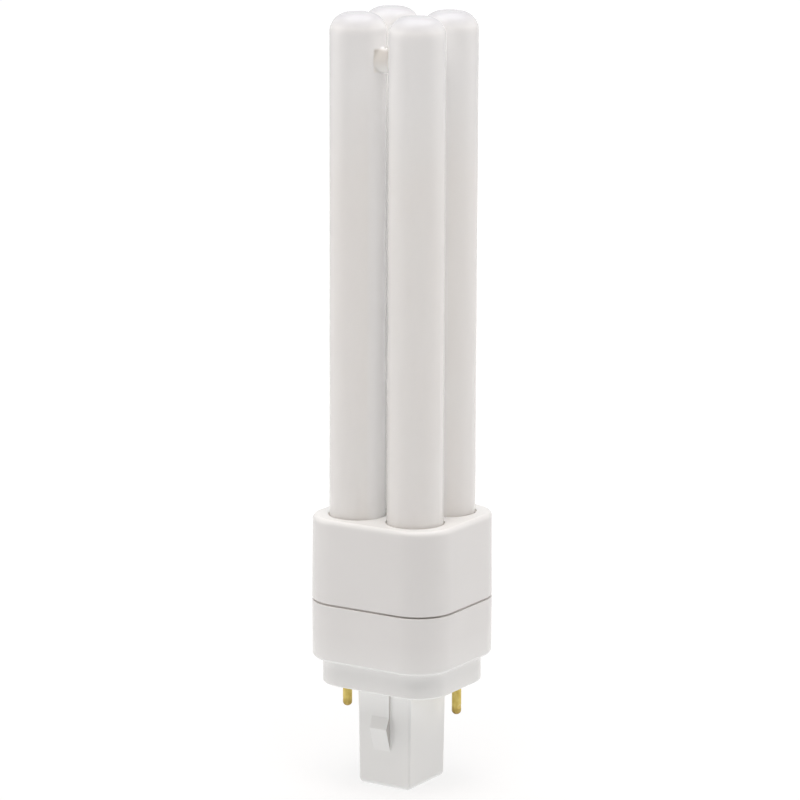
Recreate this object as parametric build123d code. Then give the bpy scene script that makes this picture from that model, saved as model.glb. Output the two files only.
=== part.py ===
from build123d import *
import os
from math import atan2, cos, pi, radians, sin, sqrt, tan

# LED plug-in lamp: two bridged pairs of frosted glass tubes in a two-part moulded housing,
# with a keyed plug post and two brass contact pins. Millimetres and degrees.
# The origin is on the lamp's axis in the flange face that seats on the lampholder.
# +Z runs up along the tubes, +X towards the right contact pin.

# Driving dimensions: glass tubes
tube_diameter = 11.8
tube_wall = 0.9
tube_height = 105.55
pair_gap = 2.46
row_gap = 0.97
dome_corner_radius = 4.05
dome_crown_radius = 23.0
bridge_diameter = 5.0
bridge_wall = 0.8
bridge_drop = 9.6
bridge_fillet = 0.5

# Driving dimensions: housing
housing_wall = 2.0
collar_height = 18.4
collar_margin_x = 3.21
collar_margin_y = 2.65
housing_corner_radius = 8.25
housing_draft = 0.45
collar_edge_radius = 1.0
collar_plate = 2.2
socket_depth = 9.0
socket_clearance = 0.3
socket_wall = 1.5
socket_shelf = 1.5
socket_shelf_width = 1.6
skirt_height = 12.4
skirt_edge_radius = 1.0
seam_gap = 0.4
seam_depth = 0.7
seam_edge_bevel = 0.12
lip_thickness = 0.9
lip_height = 4.0
lap_clearance = 0.1
snap_length = 9.0
snap_radius = 0.5
snap_height = 2.5
snap_reach = 0.3

# Driving dimensions: flange, plug post and latch lugs
flange_height = 5.6
flange_inset_x = 1.75
flange_inset_y = 2.25
flange_corner_radius = 7.1
flange_edge_bevel = 0.25
flange_floor = 2.0
post_length = 22.3
post_end_x = 12.6
post_end_y = 14.0
post_draft = 0.8
post_edge_bevel = 0.55
post_end_radius = 1.35
post_well_radius = 0.5
post_wall = 1.5
lug_width = 4.2
lug_shift = -0.4
lug_rib_reach = 0.5
lug_reach = 1.65
lug_rise_start = 6.6
lug_crest = 9.0
lug_end = 14.2
lug_crest_radius = 0.3

# Driving dimensions: contact pins
pin_spacing = 24.0
pin_offset_y = 3.5
pin_diameter = 2.0
pin_reach = 6.85
pin_tip_radius = 0.9
pin_crimp_height = 1.7
pin_crimp_radius = 0.7
pin_crimp_depth = 0.35
pin_shank_diameter = 2.6
pin_collar_diameter = 3.6
pin_collar_height = 0.8
pin_tail_diameter = 1.0
pin_boss_diameter = 5.2
pin_boss_height = 2.0
pin_fit = 0.05

# Driving dimensions: boards and light strips
board_clearance = 0.3
column_radius = 1.6
column_clearance = 0.3
driver_board_thickness = 1.6
link_board_thickness = 1.2
strip_width = 8.0
strip_thickness = 1.0
strip_setback = 0.8
strip_top_gap = 6.0
strip_tail_width = 5.0
strip_tail_reach = 1.0
strip_slot_clearance = 0.1
led_length = 3.5
led_width = 2.8
led_height = 0.7
led_pitch = 8.0
led_end_gap = 6.0
cement_recess = 0.4
leg_diameter = 0.6
leg_hole_clearance = 0.15
leg_reach = 1.0

# Driving dimensions: driver parts
can_bevel = 0.4
can_neck_height = 2.0
can_neck_depth = 0.4
bulk_capacitor_diameter = 8.0
bulk_capacitor_length = 16.0
bulk_capacitor_legs = 3.5
output_capacitor_diameter = 6.3
output_capacitor_length = 11.0
output_capacitor_legs = 2.5
film_capacitor_length = 10.0
film_capacitor_thickness = 4.5
film_capacitor_height = 9.0
film_capacitor_legs = 7.5
film_capacitor_corner = 0.6
varistor_diameter = 7.0
varistor_thickness = 3.2
varistor_bevel = 0.8
varistor_coat_diameter = 1.2
varistor_legs = 5.0
fuse_diameter = 3.0
fuse_length = 6.5
fuse_bevel = 0.6
fuse_lead_run = 1.4
core_width = 10.0
core_depth = 4.6
core_yoke = 2.2
core_leg = 1.3
core_window = 5.6
core_gap = 0.15
core_middle_leg = 2.6
bobbin_depth = 9.2
bobbin_flange = 0.7
bobbin_tube_wall = 0.5
bobbin_rail = 1.6
bobbin_clearance = 0.15
winding_inset = 0.5
header_pitch = 2.54
header_pin = 0.64
header_pin_lift = 0.4
header_body_depth = 2.5
header_body_height = 2.5
flat_part_stand = 0.15
flat_part_bevel = 0.25
flat_leg_run = 0.8
flat_leg_sunk = 0.2
rectifier_length = 4.7
rectifier_width = 3.9
rectifier_height = 1.5
chip_length = 4.9
chip_width = 3.9
chip_height = 1.4
diode_length = 4.3
diode_width = 2.6
diode_height = 2.1
resistor_length = 2.0
resistor_width = 1.25
resistor_height = 0.55

# Driver parts in plan, as shares of the driver board's half sizes. Each stands clear of the columns,
# the pin tails and its neighbours.
film_capacitor_share = (-0.311, 0.700)
varistor_share = (-0.607, 0.265)
fuse_share = (-0.494, -0.436)
transformer_share = (0.318, -0.560)
output_capacitor_share = (0.396, 0.591)
rectifier_share = (-0.480, 0.451)
chip_share = (0.494, -0.358)
diode_share = (0.466, -0.685)
resistor_shares = [(-0.396, -0.560), (-0.579, -0.560), (-0.184, -0.622), (-0.184, 0.622)]

# Levels along the lamp's axis
seat_z = 0.0
step_z = seat_z + flange_height
seam_z = step_z + skirt_height
collar_z = seam_z + collar_height
glass_top_z = collar_z + tube_height
socket_z = collar_z - socket_depth
shelf_z = socket_z - socket_shelf
link_z = shelf_z - link_board_thickness
ledge_z = step_z + housing_wall
driver_top_z = ledge_z + driver_board_thickness
post_end_z = seat_z - post_length
boss_z = seat_z + flange_floor + pin_boss_height
bridge_z = glass_top_z - bridge_drop
level_slack = 0.001

# Plan sizes worked out from the tubes outwards
tube_radius = tube_diameter / 2
pitch_x = tube_diameter + pair_gap
pitch_y = tube_diameter + row_gap
socket_radius = tube_radius + socket_clearance
housing_x = pitch_x + 2 * (socket_radius + collar_margin_x)
housing_y = pitch_y + 2 * (socket_radius + collar_margin_y)
flange_x = housing_x - 2 * flange_inset_x
flange_y = housing_y - 2 * flange_inset_y
post_growth = 2 * post_length * tan(radians(post_draft))
post_root_x = post_end_x + post_growth
post_root_y = post_end_y + post_growth
pin_x = sqrt((pin_spacing / 2) ** 2 - pin_offset_y ** 2)
pin_places = {"left": (-pin_x, -pin_offset_y), "right": (pin_x, pin_offset_y)}
tube_places = {
    "front_left": (-pitch_x / 2, -pitch_y / 2),
    "front_right": (pitch_x / 2, -pitch_y / 2),
    "rear_right": (pitch_x / 2, pitch_y / 2),
    "rear_left": (-pitch_x / 2, pitch_y / 2),
}
column_swing = housing_corner_radius - housing_wall - column_radius - column_clearance
column_x = housing_x / 2 - housing_corner_radius + column_swing * cos(radians(45))
column_y = housing_y / 2 - housing_corner_radius + column_swing * sin(radians(45))
column_places = [(x, y) for x in (-column_x, column_x) for y in (-column_y, column_y)]


def rounded_prism(size_x, size_y, corner, start_z, end_z, draft=0.0):
    """Prism on a rounded rectangle at start_z, which narrows by the draft angle towards end_z."""
    outline = Plane.XY.offset(start_z) * RectangleRounded(size_x, size_y, corner)
    way = (0, 0, 1 if end_z > start_z else -1)
    return extrude(outline, amount=abs(end_z - start_z), dir=way, taper=draft)


def housing_prism(inset, start_z, end_z):
    """Block at an inset inside the housing's outer skin, widest at the seam, where the halves part."""
    narrowing = abs(start_z - seam_z) * tan(radians(housing_draft))
    shrink = inset + narrowing
    return rounded_prism(
        housing_x - 2 * shrink,
        housing_y - 2 * shrink,
        housing_corner_radius - shrink,
        start_z,
        end_z,
        housing_draft,
    )


def upright(radius, start_z, end_z, place=(0, 0)):
    """Round bar along Z at a place in plan."""
    bar = Cylinder(radius, end_z - start_z, align=(Align.CENTER, Align.CENTER, Align.MIN))
    return Pos(place[0], place[1], start_z) * bar


def block(size_x, size_y, start_z, end_z, place=(0, 0)):
    """Square-edged block at a place in plan."""
    body = Box(size_x, size_y, end_z - start_z, align=(Align.CENTER, Align.CENTER, Align.MIN))
    return Pos(place[0], place[1], start_z) * body


def edges_at(solid, z):
    """All edges of a solid that lie in one level."""
    return solid.edges().filter_by_position(Axis.Z, z - level_slack, z + level_slack)


def round_ended_rod(radius, corner, crown, start_z, end_z):
    """Rod whose upper end is a shallow crown run into its side by a corner arc."""
    crown_centre = end_z - crown
    corner_x = radius - corner
    corner_z = crown_centre + sqrt((crown - corner) ** 2 - corner_x ** 2)
    lean = atan2(corner_z - crown_centre, corner_x)
    join = (crown * cos(lean), crown_centre + crown * sin(lean))
    corner_middle = (corner_x + corner * cos(lean / 2), corner_z + corner * sin(lean / 2))
    crown_lean = (lean + pi / 2) / 2
    crown_middle = (crown * cos(crown_lean), crown_centre + crown * sin(crown_lean))
    outline = [
        Line((0, end_z), (0, start_z)),
        Line((0, start_z), (radius, start_z)),
        Line((radius, start_z), (radius, corner_z)),
        ThreePointArc((radius, corner_z), corner_middle, join),
        ThreePointArc(join, crown_middle, (0, end_z)),
    ]
    return revolve(Plane.XZ * make_face(outline), Axis.Z)


def tube_pair(row_y):
    """Two round-ended tubes and the hollow bridge fused between them, blown as one piece."""
    rod = round_ended_rod(tube_radius, dome_corner_radius, dome_crown_radius, socket_z, glass_top_z)
    bore = round_ended_rod(
        tube_radius - tube_wall,
        dome_corner_radius - tube_wall,
        dome_crown_radius - tube_wall,
        socket_z,
        glass_top_z - tube_wall,
    )
    level = Pos(0, row_y, bridge_z) * Rot(0, 90, 0)
    left = Pos(-pitch_x / 2, row_y, 0)
    right = Pos(pitch_x / 2, row_y, 0)
    glass = left * rod + right * rod + level * Cylinder(bridge_diameter / 2, pitch_x)
    half_gap = pitch_x / 2
    necks = glass.edges().filter_by_position(Axis.X, -half_gap, half_gap).filter_by_position(
        Axis.Z, bridge_z - bridge_diameter, bridge_z + bridge_diameter
    )
    necks = [edge for edge in necks if abs(edge.center().X) < half_gap - tube_radius / 2]
    glass = fillet(necks, bridge_fillet)
    glass -= left * bore
    glass -= right * bore
    return glass - level * Cylinder(bridge_diameter / 2 - bridge_wall, pitch_x)


def cement_beads():
    """Ring of cement between each tube and its socket, held back from the rim."""
    top_z = collar_z - cement_recess
    return [
        upright(socket_radius, socket_z, top_z, place) - upright(tube_radius, socket_z, top_z, place)
        for place in tube_places.values()
    ]


def snap_beads(radius, inset):
    """Round bars along the middle of the four sides, which the two housings snap together on."""
    level = seam_z + snap_height
    half_x = housing_x / 2 - inset
    half_y = housing_y / 2 - inset
    along_x = Rot(0, 90, 0) * Cylinder(radius, snap_length)
    along_y = Rot(90, 0, 0) * Cylinder(radius, snap_length)
    beads = [Pos(0, side * half_y, level) * along_x for side in (-1, 1)]
    return beads + [Pos(side * half_x, 0, level) * along_y for side in (-1, 1)]


lip_inset = housing_wall - lip_thickness
snap_inset = lip_inset + snap_radius - snap_reach


def upper_housing():
    """Collar with a shadow gap at its rim, four stepped sockets and a rabbet for the lower half's lip."""
    skin = housing_prism(0, seam_z + seam_gap, collar_z)
    skin = fillet(edges_at(skin, collar_z), collar_edge_radius)
    skin = chamfer(edges_at(skin, seam_z + seam_gap), seam_edge_bevel)
    shell = skin + housing_prism(seam_depth, seam_z, seam_z + seam_gap + seam_edge_bevel)
    shell -= housing_prism(housing_wall, seam_z, collar_z - collar_plate)
    for place in tube_places.values():
        shell += upright(socket_radius + socket_wall, shelf_z, collar_z - collar_plate, place) & skin
    for place in tube_places.values():
        shell -= upright(socket_radius, socket_z, collar_z, place)
        shell -= upright(socket_radius - socket_shelf_width, shelf_z, socket_z, place)
    shell -= housing_prism(lip_inset - lap_clearance, seam_z, seam_z + lip_height + lap_clearance)
    for bead in snap_beads(snap_radius + lap_clearance, snap_inset):
        shell -= bead
    return shell


def round_ended_post(outline):
    """Outline at the seat drawn down to the post's end with its draft, and rounded there."""
    post = extrude(Plane.XY.offset(seat_z) * outline, amount=post_length, dir=(0, 0, -1), taper=post_draft)
    return fillet(edges_at(post, post_end_z), post_end_radius)


def plug_post():
    """Tapered square post with a rounded end, its upright edges taken off by a bevel that rounds under too."""
    around = Rectangle(post_root_x + 2 * post_edge_bevel, post_root_y + 2 * post_edge_bevel)
    trim = chamfer(around.vertices(), 3 * post_edge_bevel)
    return round_ended_post(Rectangle(post_root_x, post_root_y)) & round_ended_post(trim)


def latch_lug():
    """Wedge on the post's front face: a low rib that rises to a crest and falls to nothing."""
    root = post_root_y / 2
    lean = tan(radians(post_draft))
    sunk = post_wall / 2

    def at(depth, reach):
        return (-(root - depth * lean) - reach, seat_z - depth)

    outline = Polyline(
        at(0, -sunk),
        at(0, lug_rib_reach),
        at(lug_rise_start, lug_rib_reach),
        at(lug_crest, lug_reach),
        at(lug_end, 0),
        at(lug_end, -sunk),
        close=True,
    )
    side = Plane.YZ.offset(lug_shift - lug_width / 2)
    wedge = extrude(side * make_face(outline), amount=lug_width)
    crest_y, crest_z = at(lug_crest, lug_reach)
    crest = wedge.edges().filter_by(Axis.X).sort_by_distance((lug_shift, crest_y, crest_z))[0]
    return fillet(crest, lug_crest_radius)


def lower_housing():
    """Cup with a lip, a stepped flange, the hollow plug post with its lugs, pin bosses and board columns."""
    skirt = housing_prism(0, seam_z, step_z)
    skirt = fillet(edges_at(skirt, step_z), skirt_edge_radius)
    skirt = chamfer(edges_at(skirt, seam_z), seam_edge_bevel)
    flange = rounded_prism(flange_x, flange_y, flange_corner_radius, step_z + housing_wall / 2, seat_z)
    flange = chamfer(edges_at(flange, seat_z), flange_edge_bevel)
    cup = skirt + flange + plug_post()
    lug = latch_lug()
    cup += lug
    cup += Rot(0, 0, 180) * lug

    cup -= housing_prism(housing_wall, seam_z, ledge_z)
    cup -= rounded_prism(
        flange_x - 2 * housing_wall,
        flange_y - 2 * housing_wall,
        flange_corner_radius - housing_wall,
        seat_z + flange_floor,
        ledge_z,
    )
    well_x = post_root_x - 2 * post_wall
    well_y = post_root_y - 2 * post_wall
    well_corner = post_well_radius + (post_length - post_wall) * tan(radians(post_draft))
    cup -= rounded_prism(well_x, well_y, well_corner, seat_z, post_end_z + post_wall, post_draft)
    cup -= rounded_prism(well_x, well_y, well_corner, seat_z, seat_z + flange_floor)

    lip = housing_prism(lip_inset, seam_z, seam_z + lip_height)
    lip -= housing_prism(housing_wall, seam_z, seam_z + lip_height)
    for bead in snap_beads(snap_radius, snap_inset):
        lip += bead - housing_prism(housing_wall, seam_z, seam_z + lip_height)
    cup += lip
    inside = housing_prism(housing_wall / 2, seam_z, step_z) + flange
    for place in pin_places.values():
        cup += upright(pin_boss_diameter / 2, seat_z + flange_floor / 2, boss_z, place) & inside
    for place in column_places:
        cup += upright(column_radius, seat_z + flange_floor, link_z, place)
    for place in pin_places.values():
        cup -= upright(pin_shank_diameter / 2 + pin_fit, seat_z, boss_z, place)
        cup -= upright(pin_collar_diameter / 2 + board_clearance, boss_z, ledge_z, place)
    return cup


def contact_pin(place):
    """Round-tipped pin with a crimp on its outer side, a shank and collar in its boss, and a tail."""
    tip_z = seat_z - pin_reach
    pin = upright(pin_diameter / 2, tip_z, boss_z, place)
    pin = fillet(edges_at(pin, tip_z), pin_tip_radius)
    outward = place[0] / abs(place[0])
    crimp_x = place[0] + outward * (pin_diameter / 2 + pin_crimp_radius - pin_crimp_depth)
    crimp = Rot(90, 0, 0) * Cylinder(pin_crimp_radius, pin_diameter)
    pin -= Pos(crimp_x, place[1], tip_z + pin_crimp_height) * crimp
    pin += upright(pin_shank_diameter / 2, seat_z, boss_z, place)
    pin += upright(pin_collar_diameter / 2, boss_z, boss_z + pin_collar_height, place)
    return pin + upright(pin_tail_diameter / 2, boss_z, driver_top_z + leg_reach, place)


def strip_frame(place):
    """Location at a tube's axis, turned so that its own +X points away from the lamp's axis."""
    turn = atan2(place[1] / abs(place[1]), place[0] / abs(place[0]))
    return Pos(place[0], place[1], 0) * Rot(0, 0, turn * 180 / pi)


strip_top_z = glass_top_z - strip_top_gap
strip_middle = strip_thickness / 2 - strip_setback
led_face = strip_thickness - strip_setback


def led_strip(place):
    """Long narrow board up the tube, with a tail that plugs through the link board."""
    strip = block(strip_thickness, strip_width, shelf_z, strip_top_z, (strip_middle, 0))
    tail = block(strip_thickness, strip_tail_width, link_z - strip_tail_reach, shelf_z, (strip_middle, 0))
    return strip_frame(place) * (strip + tail)


def strip_leds(place):
    """Row of light packages on the strip's outward face."""
    start_z = socket_z + led_end_gap
    room = strip_top_z - led_end_gap / 2 - start_z
    count = int(room // led_pitch) + 1
    leds = []
    for index in range(count):
        foot_z = start_z + index * led_pitch - led_length / 2
        led = block(led_height, led_width, foot_z, foot_z + led_length, (led_face + led_height / 2, 0))
        leds.append(strip_frame(place) * led)
    return leds


hole_radius = leg_diameter / 2 + leg_hole_clearance
header_hole = header_pin / sqrt(2) + leg_hole_clearance
header_pins_at = [(-header_pitch / 2, 0), (header_pitch / 2, 0)]


def link_board():
    """Board trapped between the sockets and the columns, slotted for the strips' tails."""
    narrowing = (shelf_z - seam_z) * tan(radians(housing_draft))
    inset = housing_wall + board_clearance + narrowing
    board = rounded_prism(
        housing_x - 2 * inset, housing_y - 2 * inset, housing_corner_radius - inset, link_z, shelf_z
    )
    gap = 2 * strip_slot_clearance
    slot = block(strip_thickness + gap, strip_tail_width + gap, link_z, shelf_z, (strip_middle, 0))
    for place in tube_places.values():
        board -= strip_frame(place) * slot
    for place in header_pins_at:
        board -= upright(header_hole, link_z, shelf_z, place)
    return board


driver_board_inset = housing_wall + board_clearance + (seam_z - ledge_z) * tan(radians(housing_draft))
driver_board_x = housing_x - 2 * driver_board_inset
driver_board_y = housing_y - 2 * driver_board_inset


def on_board(share):
    """Place in plan at a share of the driver board's half sizes."""
    return (share[0] * driver_board_x / 2, share[1] * driver_board_y / 2)


film_capacitor_at = on_board(film_capacitor_share)
varistor_at = on_board(varistor_share)
fuse_at = on_board(fuse_share)
transformer_at = on_board(transformer_share)
output_capacitor_at = on_board(output_capacitor_share)


def leg_pair(place, spacing, along_x=True):
    """Places of a part's two wire legs."""
    half = spacing / 2
    step = (half, 0) if along_x else (0, half)
    return [(place[0] - step[0], place[1] - step[1]), (place[0] + step[0], place[1] + step[1])]


fuse_reach = fuse_length / 2 + fuse_lead_run
bulk_legs = leg_pair((0, 0), bulk_capacitor_legs, along_x=False)
output_legs = leg_pair(output_capacitor_at, output_capacitor_legs)
film_legs = leg_pair(film_capacitor_at, film_capacitor_legs)
varistor_legs_at = leg_pair(varistor_at, varistor_legs)
fuse_legs = leg_pair(fuse_at, 2 * fuse_reach, along_x=False)


def driver_board():
    """Board on the lower housing's ledge, notched round the columns and drilled for pins and legs."""
    corner = housing_corner_radius - driver_board_inset
    board = rounded_prism(driver_board_x, driver_board_y, corner, ledge_z, driver_top_z)
    for place in column_places:
        board -= upright(column_radius + board_clearance, ledge_z, driver_top_z, place)
    for place in pin_places.values():
        board -= upright(pin_tail_diameter / 2 + leg_hole_clearance, ledge_z, driver_top_z, place)
    for place in bulk_legs + output_legs + film_legs + varistor_legs_at + fuse_legs:
        board -= upright(hole_radius, ledge_z, driver_top_z, place)
    for place in header_pins_at:
        board -= upright(header_hole, ledge_z, driver_top_z, place)
    return board


def legs_down(places):
    """Wire legs from the board's top face to just under it."""
    return [upright(leg_diameter / 2, ledge_z - leg_reach, driver_top_z, place) for place in places]


def can_capacitor(diameter, length):
    """Rolled can standing on Z 0, with a neck crimped round its bung and bevelled rims."""
    radius = diameter / 2
    outline = Polyline(
        (0, 0),
        (radius - can_bevel, 0),
        (radius, can_bevel),
        (radius, can_neck_height - can_neck_depth),
        (radius - can_neck_depth, can_neck_height),
        (radius, can_neck_height + can_neck_depth),
        (radius, length - can_bevel),
        (radius - can_bevel, length),
        (0, length),
        close=True,
    )
    return revolve(Plane.XZ * make_face(outline), Axis.Z)


def output_capacitor():
    """Can that smooths the strips' supply, upright on the board."""
    can = Pos(output_capacitor_at[0], output_capacitor_at[1], driver_top_z)
    body = can * can_capacitor(output_capacitor_diameter, output_capacitor_length)
    for leg in legs_down(output_legs):
        body += leg
    return body


def bulk_capacitor():
    """Larger can that hangs from the board into the plug post."""
    can = can_capacitor(bulk_capacitor_diameter, bulk_capacitor_length)
    body = Pos(0, 0, ledge_z) * Rot(180, 0, 0) * can
    for place in bulk_legs:
        body += upright(leg_diameter / 2, ledge_z, driver_top_z + leg_reach, place)
    return body


def film_capacitor():
    """Box capacitor across the mains input."""
    top_z = driver_top_z + film_capacitor_height
    body = block(film_capacitor_length, film_capacitor_thickness, driver_top_z, top_z, film_capacitor_at)
    body = fillet(body.edges().filter_by(Axis.Z), film_capacitor_corner)
    for leg in legs_down(film_legs):
        body += leg
    return body


def varistor():
    """Surge disc on its edge, whose coat runs down its legs and stands them on the board."""
    radius = varistor_diameter / 2
    middle_z = driver_top_z + leg_reach + radius
    disc = Rot(90, 0, 0) * Cylinder(radius, varistor_thickness)
    disc = chamfer(disc.edges().filter_by(GeomType.CIRCLE), varistor_bevel)
    body = Pos(varistor_at[0], varistor_at[1], middle_z) * disc
    for place in varistor_legs_at:
        body += upright(varistor_coat_diameter / 2, driver_top_z, middle_z, place)
    for leg in legs_down(varistor_legs_at):
        body += leg
    return body


def fuse_resistor():
    """Fusible resistor lying on the board, with both leads bent down through it."""
    radius = fuse_diameter / 2
    axis_z = driver_top_z + radius
    body = Rot(90, 0, 0) * Cylinder(radius, fuse_length)
    body = chamfer(body.edges().filter_by(GeomType.CIRCLE), fuse_bevel)
    body += Rot(90, 0, 0) * Cylinder(leg_diameter / 2, 2 * fuse_reach)
    body = Pos(fuse_at[0], fuse_at[1], axis_z) * body
    for place in fuse_legs:
        body += upright(leg_diameter / 2, ledge_z - leg_reach, axis_z + leg_diameter / 2, place)
    return body


winding_width = core_width - 2 * core_leg - 2 * bobbin_clearance
bobbin_z = driver_top_z + core_yoke + bobbin_clearance
bobbin_top_z = bobbin_z + core_window
tube_outside = core_middle_leg + 2 * (bobbin_clearance + bobbin_tube_wall)
tube_outside_y = core_depth + 2 * (bobbin_clearance + bobbin_tube_wall)


def transformer_core():
    """Two E-shaped ferrite halves, set a small gap apart in the middle of the window."""
    middle_z = (bobbin_z + bobbin_top_z) / 2
    lower = (bobbin_z - core_yoke, middle_z - core_gap / 2)
    upper = (bobbin_top_z, middle_z + core_gap / 2)
    halves = []
    for yoke_z, end_z in (lower, upper):
        yoke = block(core_width, core_depth, yoke_z, yoke_z + core_yoke, transformer_at)
        low_z = min(yoke_z, end_z)
        high_z = max(yoke_z + core_yoke, end_z)
        half = yoke + block(core_middle_leg, core_depth, low_z, high_z, transformer_at)
        for side in (-1, 1):
            x = transformer_at[0] + side * (core_width - core_leg) / 2
            half += block(core_leg, core_depth, low_z, high_z, (x, transformer_at[1]))
        halves.append(half)
    return halves


def transformer_bobbin():
    """Moulded spool on two rails, with a square tube round the core's middle leg."""
    spool = block(tube_outside, tube_outside_y, bobbin_z, bobbin_top_z, transformer_at)
    for foot_z in (bobbin_z, bobbin_top_z - bobbin_flange):
        spool += block(winding_width, bobbin_depth, foot_z, foot_z + bobbin_flange, transformer_at)
    for side in (-1, 1):
        y = transformer_at[1] + side * (bobbin_depth - bobbin_rail) / 2
        spool += block(winding_width, bobbin_rail, driver_top_z, bobbin_z, (transformer_at[0], y))
    gap = 2 * bobbin_clearance
    return spool - block(core_middle_leg + gap, core_depth + gap, bobbin_z, bobbin_top_z, transformer_at)


def transformer_winding():
    """Coil of wire filling the spool between its flanges."""
    low_z = bobbin_z + bobbin_flange
    high_z = bobbin_top_z - bobbin_flange
    coil = block(
        winding_width - winding_inset, bobbin_depth - 2 * winding_inset, low_z, high_z, transformer_at
    )
    coil = fillet(coil.edges().filter_by(Axis.Z), winding_inset)
    return coil - block(tube_outside, tube_outside_y, low_z, high_z, transformer_at)


def header_body():
    """Plastic strip that holds the two link pins upright on the driver board."""
    body = block(2 * header_pitch, header_body_depth, driver_top_z, driver_top_z + header_body_height)
    for place in header_pins_at:
        body -= block(header_pin, header_pin, driver_top_z, driver_top_z + header_body_height, place)
    return body


def header_pins():
    """Two square pins from inside the driver board to just above the link board."""
    foot_z = ledge_z + header_pin_lift
    return [block(header_pin, header_pin, foot_z, shelf_z + leg_reach, place) for place in header_pins_at]


def flat_part(share, length, width, height, legs):
    """Moulded part soldered flat under the driver board, with flat legs at both ends."""
    place = on_board(share)
    body = block(length, width, ledge_z - height, ledge_z - flat_part_stand, place)
    body = chamfer(edges_at(body, ledge_z - height), flat_part_bevel)
    leg_width = width / (2 * legs)
    for side in (-1, 1):
        for index in range(legs):
            x = place[0] + side * (length + flat_leg_run - flat_leg_sunk) / 2
            y = place[1] + (index - (legs - 1) / 2) * 2 * leg_width
            body += block(flat_leg_run + flat_leg_sunk, leg_width, ledge_z - height / 2, ledge_z, (x, y))
    return body


def chip_resistors():
    """Four small resistors soldered flat under the driver board."""
    low_z = ledge_z - resistor_height
    places = [on_board(share) for share in resistor_shares]
    return [block(resistor_length, resistor_width, low_z, ledge_z, place) for place in places]


nodes = {
    "front_tube_pair": tube_pair(-pitch_y / 2),
    "rear_tube_pair": tube_pair(pitch_y / 2),
    "tube_cement": cement_beads(),
    "upper_housing": upper_housing(),
    "lower_housing": lower_housing(),
    "link_board": link_board(),
    "driver_board": driver_board(),
    "bulk_capacitor": bulk_capacitor(),
    "output_capacitor": output_capacitor(),
    "film_capacitor": film_capacitor(),
    "varistor": varistor(),
    "fuse_resistor": fuse_resistor(),
    "transformer_core": transformer_core(),
    "transformer_bobbin": transformer_bobbin(),
    "transformer_winding": transformer_winding(),
    "header_body": header_body(),
    "header_pins": header_pins(),
    "bridge_rectifier": flat_part(rectifier_share, rectifier_length, rectifier_width, rectifier_height, 2),
    "driver_chip": flat_part(chip_share, chip_length, chip_width, chip_height, 4),
    "output_diode": flat_part(diode_share, diode_length, diode_width, diode_height, 1),
    "chip_resistors": chip_resistors(),
}
for side, place in pin_places.items():
    nodes[side + "_contact_pin"] = contact_pin(place)
for corner, place in tube_places.items():
    nodes[corner + "_led_strip"] = led_strip(place)
    nodes[corner + "_leds"] = strip_leds(place)

os.makedirs("parts", exist_ok=True)
for name, shape in nodes.items():
    pieces = shape if isinstance(shape, list) else [shape]
    solids = [solid for piece in pieces for solid in piece.solids()]
    export_step(solids[0] if len(solids) == 1 else Compound(children=solids), f"parts/{name}.step")
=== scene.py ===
import bpy
import numpy as np
from mathutils import Matrix, Vector


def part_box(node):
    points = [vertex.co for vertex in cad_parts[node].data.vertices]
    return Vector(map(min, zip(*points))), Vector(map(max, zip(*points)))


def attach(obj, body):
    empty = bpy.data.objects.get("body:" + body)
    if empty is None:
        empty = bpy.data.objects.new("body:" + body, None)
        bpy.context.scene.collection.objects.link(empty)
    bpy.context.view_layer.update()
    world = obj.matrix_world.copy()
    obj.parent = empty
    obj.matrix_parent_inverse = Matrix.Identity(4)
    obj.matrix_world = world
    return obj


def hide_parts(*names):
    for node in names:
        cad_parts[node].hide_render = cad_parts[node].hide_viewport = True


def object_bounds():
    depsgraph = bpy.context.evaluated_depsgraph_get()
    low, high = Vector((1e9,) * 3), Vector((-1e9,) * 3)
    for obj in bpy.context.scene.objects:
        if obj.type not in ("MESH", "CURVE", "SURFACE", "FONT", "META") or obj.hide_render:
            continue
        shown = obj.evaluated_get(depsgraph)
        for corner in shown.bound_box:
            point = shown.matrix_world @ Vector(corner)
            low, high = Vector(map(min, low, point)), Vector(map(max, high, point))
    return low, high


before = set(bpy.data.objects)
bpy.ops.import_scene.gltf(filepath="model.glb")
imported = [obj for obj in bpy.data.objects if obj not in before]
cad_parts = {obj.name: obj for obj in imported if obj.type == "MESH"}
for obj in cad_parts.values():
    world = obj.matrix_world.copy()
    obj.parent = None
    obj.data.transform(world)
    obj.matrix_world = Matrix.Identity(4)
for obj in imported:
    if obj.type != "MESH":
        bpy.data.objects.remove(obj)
cad_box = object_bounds()


# Contact pins
# Two round pins of bare drawn brass, brown towards the tip and crimped on their outer sides near it. Each
# is pressed into a boss in the lower housing up to its collar, and its tail is soldered to the driver board.


def start_finish(name):
    """New material, its tree of nodes and the one principled shader in it."""
    material = bpy.data.materials.new(name)
    material.use_nodes = True
    tree = material.node_tree
    tree.nodes.clear()
    output = tree.nodes.new("ShaderNodeOutputMaterial")
    shader = tree.nodes.new("ShaderNodeBsdfPrincipled")
    tree.links.new(shader.outputs["BSDF"], output.inputs["Surface"])
    return material, tree, shader


def cloud(tree, per_metre, detail, scale=(1.0, 1.0, 1.0)):
    """Noise over object coordinates: so many blobs to the metre, drawn out along an axis of small scale."""
    place = tree.nodes.new("ShaderNodeTexCoord")
    mapping = tree.nodes.new("ShaderNodeMapping")
    mapping.inputs["Scale"].default_value = scale
    noise = tree.nodes.new("ShaderNodeTexNoise")
    noise.inputs["Scale"].default_value = per_metre
    noise.inputs["Detail"].default_value = detail
    tree.links.new(place.outputs["Object"], mapping.inputs["Vector"])
    tree.links.new(mapping.outputs["Vector"], noise.inputs["Vector"])
    return noise.outputs["Fac"]


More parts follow.
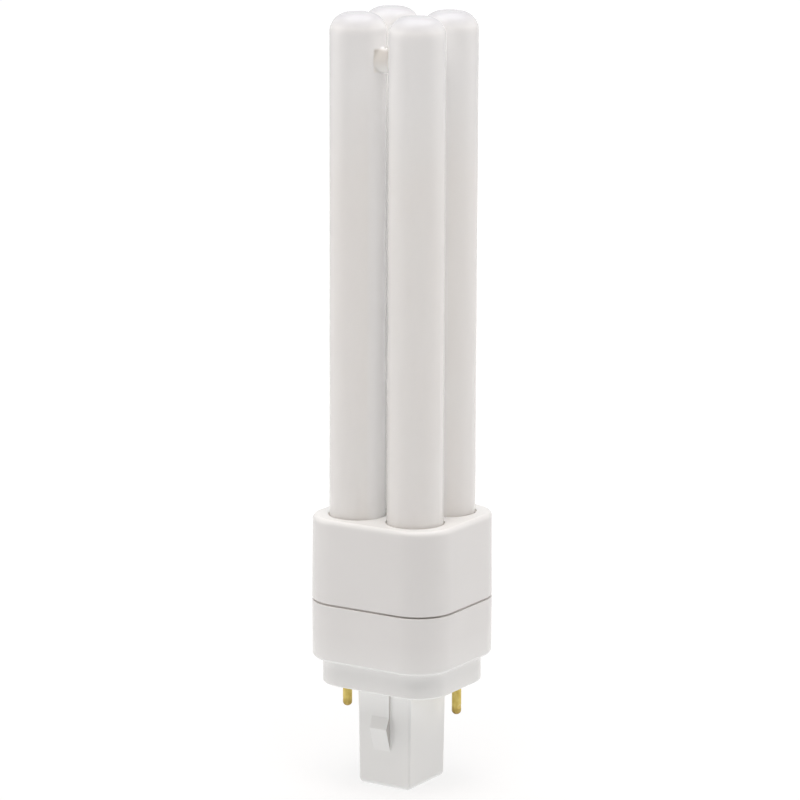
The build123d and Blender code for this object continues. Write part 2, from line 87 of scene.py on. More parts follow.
def tint(tree, factor, first, second, start=0.3, end=0.7):
    """Colour that goes from the first to the second while the factor goes from start to end."""
    ramp = tree.nodes.new("ShaderNodeValToRGB")
    stops = ramp.color_ramp.elements
    stops[0].position = start
    stops[1].position = end
    stops[0].color = (*first, 1.0)
    stops[1].color = (*second, 1.0)
    tree.links.new(factor, ramp.inputs["Fac"])
    return ramp.outputs["Color"]


def carry(tree, value, from_low, from_high, to_low=0.0, to_high=1.0):
    """Value carried over from one range to another and held at its ends. Either range may run backwards."""
    span = tree.nodes.new("ShaderNodeMapRange")
    span.inputs["From Min"].default_value = from_low
    span.inputs["From Max"].default_value = from_high
    span.inputs["To Min"].default_value = to_low
    span.inputs["To Max"].default_value = to_high
    tree.links.new(value, span.inputs["Value"])
    return span.outputs["Result"]


def spread(tree, factor, low, high):
    """Factor from 0 to 1 carried over to the range from low to high."""
    return carry(tree, factor, 0.0, 1.0, low, high)


def grain(tree, shader, height_map, depth, strength):
    """Relief of the given depth in metres on the shader's normal."""
    bump = tree.nodes.new("ShaderNodeBump")
    bump.inputs["Distance"].default_value = depth
    bump.inputs["Strength"].default_value = strength
    tree.links.new(height_map, bump.inputs["Height"])
    tree.links.new(bump.outputs["Normal"], shader.inputs["Normal"])


def blend(tree, share, first, second):
    """Colour that goes from the first to the second with the share."""
    mixer = tree.nodes.new("ShaderNodeMix")
    mixer.data_type = "RGBA"
    factor, first_colour, second_colour = mixer.inputs[0], mixer.inputs[6], mixer.inputs[7]
    tree.links.new(share, factor)
    tree.links.new(first, first_colour)
    tree.links.new(second, second_colour)
    return mixer.outputs[2]


def dress(material, *names):
    """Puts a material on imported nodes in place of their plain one."""
    for name in names:
        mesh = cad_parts[name].data
        mesh.materials.clear()
        mesh.materials.append(material)


def distance_along(tree, axis):
    """Distance in metres along one of the object's axes."""
    place = tree.nodes.new("ShaderNodeTexCoord")
    split = tree.nodes.new("ShaderNodeSeparateXYZ")
    tree.links.new(place.outputs["Object"], split.inputs["Vector"])
    return split.outputs[axis]


def height_band(tree, low, high):
    """Share from 0 to 1 of the way from one height to another, in metres along the lamp's axis."""
    return carry(tree, distance_along(tree, "Z"), low, high)


brass, tree, shader = start_finish("drawn_brass")
drawn_lines = cloud(tree, per_metre=9000.0, detail=2.0, scale=(1.0, 1.0, 0.04))
tarnish = cloud(tree, per_metre=900.0, detail=4.0)
bright_brass = tint(tree, tarnish, (0.70, 0.57, 0.19), (0.58, 0.44, 0.11), start=0.35, end=0.72)
brown_brass = tint(tree, tarnish, (0.36, 0.24, 0.07), (0.20, 0.11, 0.04), start=0.35, end=0.72)
brown_up_to = -0.0072
bright_from = -0.0048
clean_share = height_band(tree, brown_up_to, bright_from)
tree.links.new(blend(tree, clean_share, brown_brass, bright_brass), shader.inputs["Base Color"])
tree.links.new(spread(tree, drawn_lines, 0.22, 0.40), shader.inputs["Roughness"])
shader.inputs["Metallic"].default_value = 1.0
grain(tree, shader, drawn_lines, depth=0.00001, strength=0.4)
dress(brass, "left_contact_pin", "right_contact_pin")


# Lower and upper housing
# Cup of white thermoplastic, moulded in one with its stepped flange, its keyed plug post and two latch lugs,
# and a collar of the same plastic, with the tube sockets, over the cup's lip. The tools' surfaces were
# lightly spark-eroded, which leaves a fine satin grain. The plastic is painted lighter from the flange down
# and on the collar's top, as painted light, and greyer on the sides between, as painted shade.


def within(tree, axis, middle_at, half_width, soft):
    """Share of 1 within half a width of one place along an object axis, falling to 0 over the soft edge."""
    offset = tree.nodes.new("ShaderNodeMath")
    offset.operation = "SUBTRACT"
    offset.inputs[1].default_value = middle_at
    away = tree.nodes.new("ShaderNodeMath")
    away.operation = "ABSOLUTE"
    tree.links.new(distance_along(tree, axis), offset.inputs[0])
    tree.links.new(offset.outputs["Value"], away.inputs[0])
    return carry(tree, away.outputs["Value"], half_width + soft, half_width - soft)


def both(tree, first, second):
    """Product of two shares."""
    times = tree.nodes.new("ShaderNodeMath")
    times.operation = "MULTIPLY"
    tree.links.new(first, times.inputs[0])
    tree.links.new(second, times.inputs[1])
    return times.outputs["Value"]


housing_plastic, tree, shader = start_finish("satin_white_plastic")
satin = cloud(tree, per_metre=14000.0, detail=2.0)
flow = cloud(tree, per_metre=60.0, detail=3.0)

# Painted light and shade: lighter from the flange down, as if lit from below, and greyer on the sides above.
painted_lit_skin = tint(tree, flow, (0.915, 0.920, 0.910), (0.930, 0.935, 0.925))
painted_shaded_skin = tint(tree, flow, (0.835, 0.828, 0.820), (0.855, 0.848, 0.840))
lit_skin_up_to = 0.001
shaded_skin_from = 0.012
skin = blend(tree, height_band(tree, lit_skin_up_to, shaded_skin_from), painted_lit_skin, painted_shaded_skin)
# Painted light: the collar's top face is painted lighter, as a pool of light from above.
rim_from = 0.0350
rim_to = 0.0363
skin = blend(tree, height_band(tree, rim_from, rim_to), skin, painted_lit_skin)

# Painted shade: the side of the front latch lug that faces +X, in its corner with the post's wall, is darker.
painted_lug_shade = tint(tree, flow, (0.58, 0.56, 0.54), (0.66, 0.64, 0.62))
lug_side_x = 0.0017
lug_y = -0.0082
lug_z = -0.0075
on_side = within(tree, "X", lug_side_x, half_width=0.00005, soft=0.00001)
on_lug = within(tree, "Y", lug_y, half_width=0.00092, soft=0.00002)
along_lug = within(tree, "Z", lug_z, half_width=0.0075, soft=0.0002)
lug_shaded_skin = blend(tree, both(tree, both(tree, on_side, on_lug), along_lug), skin, painted_lug_shade)

# Painted shade: the recessed seam between the collar and the cup is painted dark, darkest at the front right
# corner.
pale_seam_shade = tint(tree, flow, (0.74, 0.71, 0.69), (0.80, 0.77, 0.75))
dark_seam_shade = tint(tree, flow, (0.48, 0.45, 0.42), (0.54, 0.51, 0.48))
corner_at = 0.0125
at_right = within(tree, "X", corner_at, half_width=0.006, soft=0.004)
at_front = within(tree, "Y", -corner_at, half_width=0.006, soft=0.004)
seam_shade = blend(tree, both(tree, at_right, at_front), pale_seam_shade, dark_seam_shade)
joint_z = 0.0182
joint_share = within(tree, "Z", joint_z, half_width=0.00019, soft=0.00002)

tree.links.new(blend(tree, joint_share, lug_shaded_skin, seam_shade), shader.inputs["Base Color"])
tree.links.new(spread(tree, satin, 0.20, 0.28), shader.inputs["Roughness"])
grain(tree, shader, satin, depth=0.000006, strength=0.5)
dress(housing_plastic, "lower_housing", "upper_housing")


# Driver board and its parts
# Fibreglass board with green lacquer on the lower housing's ledge. The parts on it turn mains current into
# the strips' supply, and their leads or feet are soldered to it. A pin header joins it to the link board.


def mottled_finish(name, per_metre, detail, first, second, roughness, metallic=0.0):
    """Finish whose colour goes from the first to the second, and its roughness over a range, by one cloud."""
    material, tree, shader = start_finish(name)
    blotch = cloud(tree, per_metre, detail)
    tree.links.new(tint(tree, blotch, first, second), shader.inputs["Base Color"])
    tree.links.new(spread(tree, blotch, *roughness), shader.inputs["Roughness"])
    shader.inputs["Metallic"].default_value = metallic
    return material


board_lacquer = mottled_finish(
    "green_lacquered_board", per_metre=2500.0, detail=2.0,
    first=(0.03, 0.16, 0.07), second=(0.05, 0.22, 0.10), roughness=(0.28, 0.42))
dress(board_lacquer, "driver_board", "link_board")

board_foot, board_top = (corner[2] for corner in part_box("driver_board"))
edge = 0.00001
dull_tin = (0.62, 0.62, 0.60)
bright_tin = (0.72, 0.72, 0.70)


def coat_and_leads(tree, shader, blotch, coat, roughness, covered):
    """Coat on a part's body, and bare tinned metal where the share that it covers is 0."""
    tin = tint(tree, blotch, dull_tin, bright_tin)
    tree.links.new(blend(tree, covered, tin, coat), shader.inputs["Base Color"])
    tree.links.new(spread(tree, blotch, *roughness), shader.inputs["Roughness"])
    tree.links.new(spread(tree, covered, 1.0, 0.0), shader.inputs["Metallic"])


def standing_body(tree):
    """Share of 1 above the board's top, where the body of a part that stands on it is, and 0 on its leads."""
    return height_band(tree, board_top - edge, board_top + edge)


def hanging_body(tree):
    """Share of 1 below the board's underside, where the body of a part that hangs from it is."""
    return height_band(tree, board_foot + edge, board_foot - edge)


def fuse_body(tree):
    """Share of 1 along the body of the fuse resistor, which lies along Y with a lead at each end."""
    fuse_low, fuse_high = (corner[1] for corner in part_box("fuse_resistor"))
    return within(tree, "Y", 0.5 * (fuse_low + fuse_high), half_width=0.00328, soft=edge)


def capacitor_can(name, can_end, body_share):
    """Dark shrink sleeve with a pale stripe for the negative lead. The can's end and the leads are bare."""
    sleeve, tree, shader = start_finish(name + "_sleeve")
    wrinkle = cloud(tree, per_metre=1200.0, detail=2.0)
    dark = tint(tree, wrinkle, (0.02, 0.02, 0.03), (0.04, 0.04, 0.06))
    pale = tint(tree, wrinkle, (0.50, 0.50, 0.52), (0.58, 0.58, 0.60))
    stripe = within(tree, "X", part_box(name)[1][0], half_width=0.0009, soft=0.00004)
    bare_end = within(tree, "Z", can_end, half_width=0.00006, soft=edge)
    covered = both(tree, spread(tree, bare_end, 1.0, 0.0), body_share(tree))
    striped = blend(tree, stripe, dark, pale)
    coat_and_leads(tree, shader, wrinkle, striped, roughness=(0.25, 0.4), covered=covered)
    dress(sleeve, name)


def coated_part(name, finish_name, per_metre, detail, first, second, roughness, body_share):
    """Mottled coat on a part's body, with its leads left bare."""
    finish, tree, shader = start_finish(finish_name)
    blotch = cloud(tree, per_metre, detail)
    coat = tint(tree, blotch, first, second)
    coat_and_leads(tree, shader, blotch, coat, roughness, body_share(tree))
    dress(finish, name)


capacitor_can("output_capacitor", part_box("output_capacitor")[1][2], standing_body)
capacitor_can("bulk_capacitor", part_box("bulk_capacitor")[0][2], hanging_body)

coated_part(
    "film_capacitor", "yellow_film_case", per_metre=3000.0, detail=2.0,
    first=(0.72, 0.50, 0.06), second=(0.80, 0.58, 0.10), roughness=(0.35, 0.5), body_share=standing_body)
coated_part(
    "varistor", "blue_dipped_coat", per_metre=1500.0, detail=2.0,
    first=(0.03, 0.10, 0.40), second=(0.05, 0.14, 0.48), roughness=(0.25, 0.45), body_share=standing_body)
coated_part(
    "fuse_resistor", "grey_cement_coat", per_metre=4000.0, detail=3.0,
    first=(0.22, 0.30, 0.26), second=(0.28, 0.36, 0.32), roughness=(0.45, 0.65), body_share=fuse_body)

ferrite = mottled_finish(
    "sintered_ferrite", per_metre=5000.0, detail=3.0,
    first=(0.035, 0.035, 0.038), second=(0.06, 0.06, 0.065), roughness=(0.5, 0.7))
dress(ferrite, "transformer_core")

moulding = mottled_finish(
    "black_part_moulding", per_metre=6000.0, detail=2.0,
    first=(0.015, 0.015, 0.015), second=(0.03, 0.03, 0.03), roughness=(0.4, 0.6))
dress(moulding, "transformer_bobbin", "header_body", "bridge_rectifier", "driver_chip", "output_diode")

tinned = mottled_finish(
    "tinned_metal", per_metre=2000.0, detail=2.0,
    first=dull_tin, second=bright_tin, roughness=(0.25, 0.4), metallic=1.0)
dress(tinned, "header_pins")

chip_ceramic = mottled_finish(
    "chip_ceramic", per_metre=5000.0, detail=2.0,
    first=(0.05, 0.05, 0.05), second=(0.09, 0.09, 0.09), roughness=(0.4, 0.55))
dress(chip_ceramic, "chip_resistors")


# Transformer winding
# Enamelled copper wire, wound on the bobbin's rectangular tube turn beside turn, so that each layer shows
# its wires as round ridges which climb by one wire in each turn.


def grid_piece(name, points, closed_rows, finish):
    """Mesh of quads over one grid of points for each copy, shaped copies, rows, columns and 3. Neighbours
    along the rows and columns are joined, the last column to the first, and the last row to the first if
    closed. Otherwise one flat face closes each end."""
    numbers = np.arange(points[..., 0].size).reshape(points.shape[:3])
    ends = np.concatenate([numbers[:, 0], numbers[:, -1, ::-1]])
    numbers = np.concatenate([numbers, numbers[:, :, :1]], axis=2)
    if closed_rows:
        ends = ends[:0]
        numbers = np.concatenate([numbers, numbers[:, :1]], axis=1)
    below, above = numbers[:, :-1], numbers[:, 1:]
    around_quad = [below[..., :-1], above[..., :-1], above[..., 1:], below[..., 1:]]
    quads = np.stack(around_quad, axis=-1).reshape(-1, 4)
    mesh = bpy.data.meshes.new(name)
    mesh.from_pydata(points.reshape(-1, 3).tolist(), [], quads.tolist() + ends.tolist())
    mesh.polygons.foreach_set("use_smooth", np.ones(len(mesh.polygons), dtype=bool))
    mesh.materials.append(finish)
    piece = bpy.data.objects.new(name, mesh)
    bpy.context.scene.collection.objects.link(piece)
    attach(piece, "root")
    return piece


def rounded_lap(half_x, half_y, radius, per_corner):
    """Points round a rectangle with rounded corners, anticlockwise, and the direction outwards at each: the
    corner's centre + radius * (cos a, sin a), where a goes through a quarter turn at each corner."""
    angle = np.linspace(0.0, 0.5 * np.pi, per_corner) + 0.5 * np.pi * np.arange(4)[:, None]
    outward = np.stack([np.cos(angle), np.sin(angle)], axis=-1)
    quarters = np.array([[1, 1], [-1, 1], [-1, -1], [1, -1]])
    centre = quarters * np.array([half_x - radius, half_y - radius])
    return (centre[:, None, :] + radius * outward).reshape(-1, 2), outward.reshape(-1, 2)


def wound_turns(low, high, tube_half, wire, per_wire, per_corner):
    """Ring between two rectangles, whose outer side falls from the box by wire / 2 * (1 - sqrt(1 - s * s)).
    There s goes from -1 to 1 across each wire and slides by one wire for one lap, so the ridges form one
    helix."""
    middle_xy = 0.5 * (low + high)[:2]
    half = 0.5 * (high - low)[:2]
    outer_corner = 4.0 * wire
    tube_corner = 0.2 * wire
    lap, outward = rounded_lap(half[0], half[1], outer_corner, per_corner)
    tube = rounded_lap(tube_half[0], tube_half[1], tube_corner, per_corner)[0]
    step = np.linalg.norm(np.roll(lap, -1, axis=0) - lap, axis=1)
    travelled = (np.cumsum(step) - step) / step.sum()
    height = np.linspace(low[2], high[2], int(round((high[2] - low[2]) / wire)) * per_wire + 1)
    across = 2.0 * (((height - low[2]) / wire - travelled[:, None]) % 1.0) - 1.0
    fall = 0.5 * wire * (1.0 - np.sqrt(1.0 - across ** 2))
    outer = lap[:, None, :] - fall[..., None] * outward[:, None, :]
    flat = np.concatenate([outer, tube[:, None, :], tube[:, None, :]], axis=1) + middle_xy
    level = np.broadcast_to(np.append(height, [high[2], low[2]]), flat.shape[:2])
    return np.concatenate([flat, level[..., None]], axis=-1)


copper = mottled_finish(
    "enamelled_copper", per_metre=3000.0, detail=2.0,
    first=(0.45, 0.17, 0.06), second=(0.60, 0.26, 0.10), roughness=(0.22, 0.36), metallic=0.8)
coil_low, coil_high = (np.array(corner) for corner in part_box("transformer_winding"))
bobbin_tube_half = (0.00197, 0.00297)
coil_points = wound_turns(coil_low, coil_high, bobbin_tube_half, wire=0.0003, per_wire=8, per_corner=12)
coil = grid_piece("wound_turns", coil_points[None], True, copper)
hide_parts("transformer_winding")


# Pin solder
# Tin solder drawn up round each contact pin's tail on the driver board, a bright hollow cone. It wetted both
# while it was hot, and joins the pin to the board.


def solder_cone(places, foot_z, tail_radius, spread_out, climb, rows, columns):
    """Cone about each tail with the radius tail_radius + spread_out * (1 - t) ** 2.2 at height t * climb."""
    hollow = 2.2
    way = np.linspace(0.0, 1.0, rows)
    radius = np.append(tail_radius + spread_out * (1.0 - way) ** hollow, tail_radius)
    height = np.append(foot_z + climb * way, foot_z)
    angle = np.linspace(0.0, 2.0 * np.pi, columns, endpoint=False)[:, None]
    x = places[:, 0, None, None] + radius * np.cos(angle)
    y = places[:, 1, None, None] + radius * np.sin(angle)
    return np.stack([x, y, np.broadcast_to(height, x.shape)], axis=-1)


solder = mottled_finish(
    "reflowed_solder", per_metre=5000.0, detail=3.0,
    first=(0.66, 0.66, 0.65), second=(0.76, 0.76, 0.75), roughness=(0.18, 0.32), metallic=1.0)
pin_boxes = np.array([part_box(side + "_contact_pin") for side in ("left", "right")])
cones = solder_cone(
    pin_boxes.mean(axis=1), board_top, tail_radius=0.000505, spread_out=0.00075, climb=0.0008,
    rows=12, columns=40)
grid_piece("pin_solder", cones, True, solder)


# Light strips
# Four narrow aluminium-backed boards with white lacquer, one up each tube, each with a row of light packages
# soldered to it. A package is a white moulding with a pillow of yellow phosphor in its face. The link board
# carries the strips.

strip_lacquer = mottled_finish(
    "white_strip_lacquer", per_metre=2000.0, detail=2.0,
    first=(0.78, 0.78, 0.77), second=(0.84, 0.84, 0.83), roughness=(0.3, 0.45))
corners = ("front_left", "front_right", "rear_right", "rear_left")
dress(strip_lacquer, *(corner + "_led_strip" for corner in corners))

package = mottled_finish(
    "white_package_moulding", per_metre=5000.0, detail=2.0,
    first=(0.82, 0.82, 0.80), second=(0.88, 0.88, 0.86), roughness=(0.35, 0.5))
dress(package, *(corner + "_leds" for corner in corners))


def phosphor_windows(low, high, along, across, bulge):
    """Pillows on a row of packages 8 mm apart up one strip. Each is a superellipse of power 4 in outline, its
    height above the package bulge * (1 - r ** 4) out to its rim, and its back is flat inside the package."""
    package_half_depth = 0.00035
    package_length = 0.0035
    pitch = 0.008
    front_rows = 9
    columns = 32
    hub = 0.02
    back_rim = 0.96
    back_at = -0.3 * bulge
    share = np.append(np.linspace(hub, 1.0, front_rows), [back_rim, hub])
    rise = np.append(bulge * (1.0 - share[:front_rows] ** 4), [back_at, back_at])
    angle = np.linspace(0.0, 2.0 * np.pi, columns, endpoint=False)
    bound = (np.cos(angle) ** 4 + np.sin(angle) ** 4) ** -0.25
    outward = np.sign(low + high)[:2] / np.sqrt(2.0)
    sideways = np.array([-outward[1], outward[0]])
    face = 0.5 * (low + high)[:2] + outward * package_half_depth
    first_z = low[2] + 0.5 * package_length
    packages = int(round((high[2] - low[2] - package_length) / pitch)) + 1
    rows = np.arange(packages) * pitch + first_z
    side_way = across * share[:, None] * bound * np.cos(angle)
    up_way = along * share[:, None] * bound * np.sin(angle)
    flat = face + rise[:, None, None] * outward + side_way[..., None] * sideways
    flat = np.broadcast_to(flat, (len(rows),) + flat.shape)
    return np.concatenate([flat, (rows[:, None, None] + up_way)[..., None]], axis=-1)


phosphor = mottled_finish(
    "yellow_phosphor", per_metre=6000.0, detail=2.0,
    first=(0.85, 0.70, 0.18), second=(0.90, 0.78, 0.28), roughness=(0.35, 0.5))
for corner in corners:
    row_low, row_high = (np.array(end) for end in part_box(corner + "_leds"))
    windows = phosphor_windows(row_low, row_high, along=0.0014, across=0.00105, bulge=0.00012)
    grid_piece(corner + "_phosphor", windows, False, phosphor)


# Tube cement
# White setting cement in the gap between each tube and its socket, held back from the rim. It holds the glass
# in the upper housing, and its top is hollow because it drew in while it set.


def cement_rings(places, tube_radius, socket_radius, low, high, sag):
    """Ring about each tube between the glass and its socket. Its top hangs by sag * (1 - (2t - 1) ** 2)
    between its two edges, t across the gap, and by a slow wave round the tube at the angle a, 0.15 * sag *
    (2 + sin(3a + 0.7) + sin(5a + 2.1))."""
    columns = 96
    rows_across = 9
    across = np.linspace(1.0, 0.0, rows_across)
    angle = np.linspace(0.0, 2.0 * np.pi, columns, endpoint=False)[:, None]
    wave = 0.15 * sag * (2.0 + np.sin(3.0 * angle + 0.7) + np.sin(5.0 * angle + 2.1))
    top = high - sag * (1.0 - (2.0 * across - 1.0) ** 2) - wave
    foot = np.full((columns, 2), low)
    height = np.concatenate([top, foot], axis=1)
    radius = np.append(tube_radius + (socket_radius - tube_radius) * across, [tube_radius, socket_radius])
    x = places[:, 0, None, None] + radius * np.cos(angle)
    y = places[:, 1, None, None] + radius * np.sin(angle)
    return np.stack([x, y, np.broadcast_to(height, x.shape)], axis=-1)


cement = mottled_finish(
    "setting_cement", per_metre=4000.0, detail=4.0,
    first=(0.62, 0.60, 0.57), second=(0.74, 0.72, 0.69), roughness=(0.6, 0.85))
bead_low, bead_high = (np.array(end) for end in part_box("tube_cement"))
bead_radius = 0.0062
foot_clearance = 0.00001
tube_at = bead_high[:2] - bead_radius
tube_centres = np.array([[-1, -1], [1, -1], [1, 1], [-1, 1]]) * tube_at
rings = cement_rings(
    tube_centres, tube_radius=0.005905, socket_radius=0.006195,
    low=bead_low[2] + foot_clearance, high=bead_high[2], sag=0.00012)
beads = grid_piece("cement_rings", rings, True, cement)
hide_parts("tube_cement")


# Glass tube pairs
# Soft glass tubes with domed ends, joined near the top by a short bridge blown as one with them, and
# cemented into the upper housing's sockets. A white diffusing coat covers the inside, so the glass is milky
# The tips and the bridge's top are painted darker, as painted shade against the light from above, and the
# sides that the tubes turn to each other are painted lighter, as painted light in the gaps between them.


def inner_share(tree, inner, outer):
    """Share of 1 on the sides that the tubes turn to the lamp's axis, 0 beyond the outer distance from it."""
    place = tree.nodes.new("ShaderNodeTexCoord")
    flatten = tree.nodes.new("ShaderNodeVectorMath")
    flatten.operation = "MULTIPLY"
    flatten.inputs[1].default_value = (1.0, 1.0, 0.0)
    length = tree.nodes.new("ShaderNodeVectorMath")
    length.operation = "LENGTH"
    tree.links.new(place.outputs["Object"], flatten.inputs[0])
    tree.links.new(flatten.outputs["Vector"], length.inputs[0])
    return carry(tree, length.outputs["Value"], outer, inner)


milky_glass, tree, shader = start_finish("milky_glass")
coat_cloud = cloud(tree, per_metre=120.0, detail=3.0, scale=(1.0, 1.0, 0.35))
lower_coat = tint(tree, coat_cloud, (0.915, 0.893, 0.872), (0.930, 0.908, 0.887))
crown_coat = tint(tree, coat_cloud, (0.925, 0.926, 0.932), (0.935, 0.936, 0.942))
painted_gap_light = tint(tree, coat_cloud, (0.992, 0.991, 0.990), (0.995, 0.994, 0.993))
painted_tip_shade = tint(tree, coat_cloud, (0.66, 0.665, 0.69), (0.69, 0.695, 0.72))
crown_from = 0.108
crown_full = 0.138
tip_shade_from = 0.1390
tip_shade_full = 0.1412
coat = blend(tree, height_band(tree, crown_from, crown_full), lower_coat, crown_coat)
# Painted light: the sides that the tubes turn to each other, in the gaps between them, are painted almost
# white.
coat = blend(tree, inner_share(tree, inner=0.0085, outer=0.0105), coat, painted_gap_light)
# Painted shade: the tips of the domes are painted darker and bluish, against the light from above.
coat = blend(tree, height_band(tree, tip_shade_from, tip_shade_full), coat, painted_tip_shade)

# The bridge is tinted beige at its foot. Its top is painted darker, as painted shade against the light from
# above.
weld_foot = tint(tree, coat_cloud, (0.935, 0.910, 0.870), (0.950, 0.925, 0.885))
painted_bridge_top_shade = tint(tree, coat_cloud, (0.60, 0.575, 0.54), (0.64, 0.615, 0.58))
weld_foot_up_to = 0.1312
bridge_shade_from = 0.1345
bridge_tint_and_shade = blend(tree, height_band(tree, weld_foot_up_to, bridge_shade_from), weld_foot, painted_bridge_top_shade)
bridge_z = 0.13235
between_tubes = within(tree, "X", 0.0, half_width=0.00175, soft=0.0001)
at_bridge = within(tree, "Z", bridge_z, half_width=0.0024, soft=0.0003)
coat = blend(tree, both(tree, between_tubes, at_bridge), coat, bridge_tint_and_shade)

fire_polish = cloud(tree, per_metre=400.0, detail=2.0)
tree.links.new(coat, shader.inputs["Base Color"])
tree.links.new(spread(tree, fire_polish, 0.20, 0.28), shader.inputs["Roughness"])
shader.inputs["Subsurface Weight"].default_value = 1.0
shader.inputs["Subsurface Radius"].default_value = (1.0, 1.0, 1.0)
shader.inputs["Subsurface Scale"].default_value = 0.001
dress(milky_glass, "front_tube_pair", "rear_tube_pair")


# Studio
# Pale floor under the plug post, wide soft lamps on both sides, above, in front and behind, and a white room.
# In a glossy surface the floor and the room look dimmer on the camera's side than behind the lamp.

seen_azimuth = np.radians(32.154)
to_camera = np.array([np.sin(seen_azimuth), -np.cos(seen_azimuth), 0.0])
to_right = np.array([np.cos(seen_azimuth), np.sin(seen_azimuth), 0.0])
lift = np.array([0.0, 0.0, 1.0])
middle = np.array([0.0, 0.0, 0.06])
low_aim = 0.5 * middle
lamp_warm = (1.0, 0.94, 0.905)
lamp_cool = (0.99, 0.99, 1.0)


def soft_lamp(name, offset, aim, size, watts, colour, mirrored=True):
    """Rectangular lamp turned to face its aim. Its offset from the part's middle is in metres to the right,
    towards the camera and up. A glossy surface shows it only if it is to be mirrored."""
    right, front, up = offset
    place = middle + right * to_right + front * to_camera + up * lift
    data = bpy.data.lights.new(name, "AREA")
    data.shape = "RECTANGLE"
    data.size, data.size_y = size
    data.energy = watts
    data.color = colour
    lamp = bpy.data.objects.new(name, data)
    bpy.context.scene.collection.objects.link(lamp)
    lamp.location = place
    lamp.visible_glossy = mirrored
    lamp.rotation_mode = "QUATERNION"
    lamp.rotation_quaternion = (Vector(aim) - Vector(place)).to_track_quat("-Z", "Y")


soft_lamp("right_lamp", (0.75, 0.0, 0.18), low_aim, (0.7, 0.48), 1.1, lamp_warm)
soft_lamp("left_lamp", (-0.75, 0.0, 0.18), low_aim, (0.7, 0.48), 1.3, lamp_warm)
soft_lamp("top_lamp", (0.0, -0.15, 0.85), middle, (0.9, 0.7), 5.4, lamp_cool)
soft_lamp("high_lamp", (0.0, 0.34, 0.80), low_aim, (0.8, 0.4), 4.5, lamp_warm, mirrored=False)
soft_lamp("front_lamp", (0.0, 0.90, 0.18), low_aim, (0.9, 0.48), 0.5, lamp_warm)
soft_lamp("rear_right_lamp", (0.50, -0.55, 0.18), low_aim, (0.6, 0.48), 1.2, lamp_warm, mirrored=False)
soft_lamp("rear_left_lamp", (-0.50, -0.55, 0.18), low_aim, (0.6, 0.48), 0.8, lamp_warm, mirrored=False)


def pick(tree, share, first, second):
    """Number that goes from the first to the second with the share. Each is a socket or a plain number."""
    mixer = tree.nodes.new("ShaderNodeMix")
    mixer.data_type = "FLOAT"
    entries = (mixer.inputs[0], mixer.inputs[2], mixer.inputs[3])
    for value, entry in zip((share, first, second), entries):
        if isinstance(value, float):
            entry.default_value = value
        else:
            tree.links.new(value, entry)
    return mixer.outputs[0]


def front_dimming(tree, coordinates, start, end, bright=0.7, dim=0.1):
    """Mirrored brightness that falls from the side behind the lamp to the side where the camera stands."""
    frontward = tree.nodes.new("ShaderNodeVectorMath")
    frontward.operation = "DOT_PRODUCT"
    frontward.inputs[1].default_value = to_camera.tolist()
    tree.links.new(coordinates, frontward.inputs[0])
    return carry(tree, frontward.outputs["Value"], start, end, bright, dim)


world = bpy.data.worlds.new("white_room")
bpy.context.scene.world = world
world.use_nodes = True
tree = world.node_tree
tree.nodes.clear()
room_path = tree.nodes.new("ShaderNodeLightPath")
room_way = tree.nodes.new("ShaderNodeTexCoord")
room_light = tree.nodes.new("ShaderNodeBackground")
room_out = tree.nodes.new("ShaderNodeOutputWorld")
room_dim = front_dimming(tree, room_way.outputs["Generated"], start=0.1, end=0.6)
room_mirrored = pick(tree, room_path.outputs["Is Glossy Ray"], 0.0, room_dim)
room_strength = pick(tree, room_path.outputs["Is Camera Ray"], room_mirrored, 1.0)
room_light.inputs["Color"].default_value = (1.0, 1.0, 1.0, 1.0)
tree.links.new(room_strength, room_light.inputs["Strength"])
tree.links.new(room_light.outputs["Background"], room_out.inputs["Surface"])

floor_half = 4.0
floor_z = cad_box[0].z
floor_square = np.array([[-1, -1, 0], [1, -1, 0], [1, 1, 0], [-1, 1, 0]])
floor_corners = floor_square * floor_half + np.array([0, 0, floor_z])
floor_mesh = bpy.data.meshes.new("studio_floor")
floor_mesh.from_pydata(floor_corners.tolist(), [], [(0, 1, 2, 3)])
floor = bpy.data.objects.new("studio_floor", floor_mesh)
bpy.context.scene.collection.objects.link(floor)

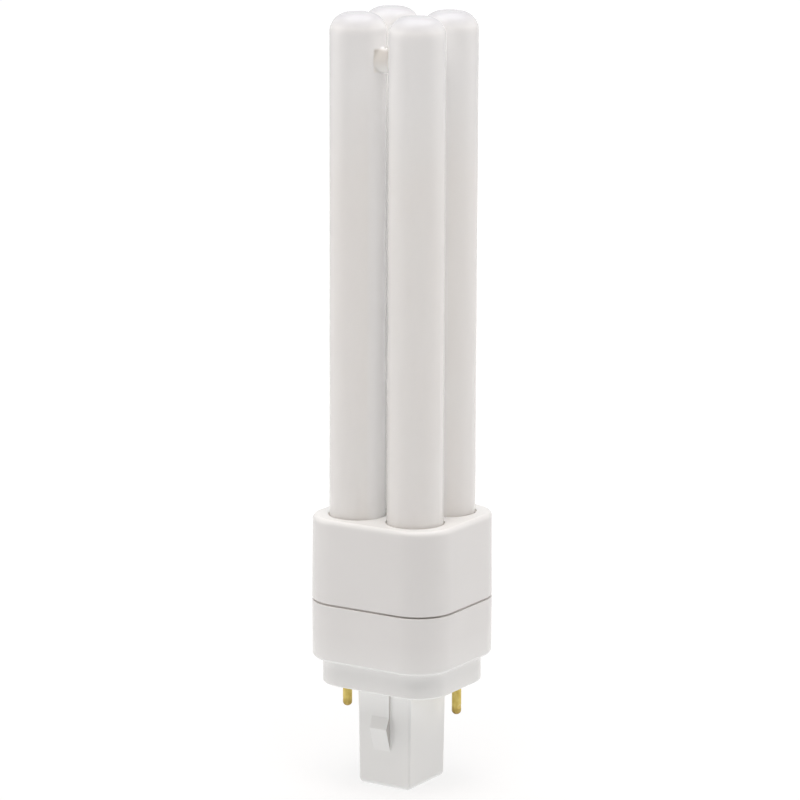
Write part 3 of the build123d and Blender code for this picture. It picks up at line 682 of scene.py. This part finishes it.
floor_paint = bpy.data.materials.new("pale_floor")
floor_paint.use_nodes = True
tree = floor_paint.node_tree
tree.nodes.clear()
floor_path = tree.nodes.new("ShaderNodeLightPath")
floor_place = tree.nodes.new("ShaderNodeTexCoord")
floor_far = tree.nodes.new("ShaderNodeVectorMath")
floor_far.operation = "LENGTH"
floor_matt = tree.nodes.new("ShaderNodeBsdfDiffuse")
floor_matt.inputs["Color"].default_value = (0.3, 0.3, 0.3, 1.0)
floor_glow = tree.nodes.new("ShaderNodeEmission")
floor_both = tree.nodes.new("ShaderNodeAddShader")
floor_out = tree.nodes.new("ShaderNodeOutputMaterial")
glow_on_lamp = 0.66
near = 0.1
far = 0.8
tree.links.new(floor_place.outputs["Object"], floor_far.inputs[0])
floor_dim = front_dimming(tree, floor_place.outputs["Object"], start=0.02, end=0.2)
floor_mirrored = pick(tree, floor_path.outputs["Is Glossy Ray"], glow_on_lamp, floor_dim)
floor_seen = carry(tree, floor_far.outputs["Value"], near, far, to_low=0.7, to_high=1.0)
floor_strength = pick(tree, floor_path.outputs["Is Camera Ray"], floor_mirrored, floor_seen)
tree.links.new(floor_strength, floor_glow.inputs["Strength"])
tree.links.new(floor_matt.outputs["BSDF"], floor_both.inputs[0])
tree.links.new(floor_glow.outputs["Emission"], floor_both.inputs[1])
tree.links.new(floor_both.outputs["Shader"], floor_out.inputs["Surface"])
floor_mesh.materials.append(floor_paint)


# Camera
# Long lens at the photograph's height and angle, a fifth of a degree out of level as the photograph is.
# The milky tubes pass light to and fro between them, so many bounces of light are let through.

camera_reach = 0.807617
camera_height = 0.232862
camera_roll = np.radians(0.206)
camera_place = camera_reach * to_camera + camera_height * lift
look = middle - camera_place
look = look / np.linalg.norm(look)
level_right = np.cross(look, lift)
level_right = level_right / np.linalg.norm(level_right)
level_up = np.cross(level_right, look)
camera_right = np.cos(camera_roll) * level_right + np.sin(camera_roll) * level_up
camera_up = np.cos(camera_roll) * level_up - np.sin(camera_roll) * level_right
camera_data = bpy.data.cameras.new("photo_camera")
camera_data.sensor_width = 36.0
camera_data.lens = 177.73
camera_data.shift_x = -0.00363
camera_data.shift_y = 0.0026
camera_data.clip_start = 0.05
camera_data.clip_end = 20.0
camera = bpy.data.objects.new("photo_camera", camera_data)
bpy.context.scene.collection.objects.link(camera)
turn = np.eye(4)
turn[:3, 0] = camera_right
turn[:3, 1] = camera_up
turn[:3, 2] = -look
turn[:3, 3] = camera_place
camera.matrix_world = Matrix(turn.tolist())
bpy.context.scene.camera = camera
bpy.context.scene.view_settings.view_transform = "Standard"
bpy.context.scene.cycles.max_bounces = 32
bpy.context.scene.cycles.diffuse_bounces = 32
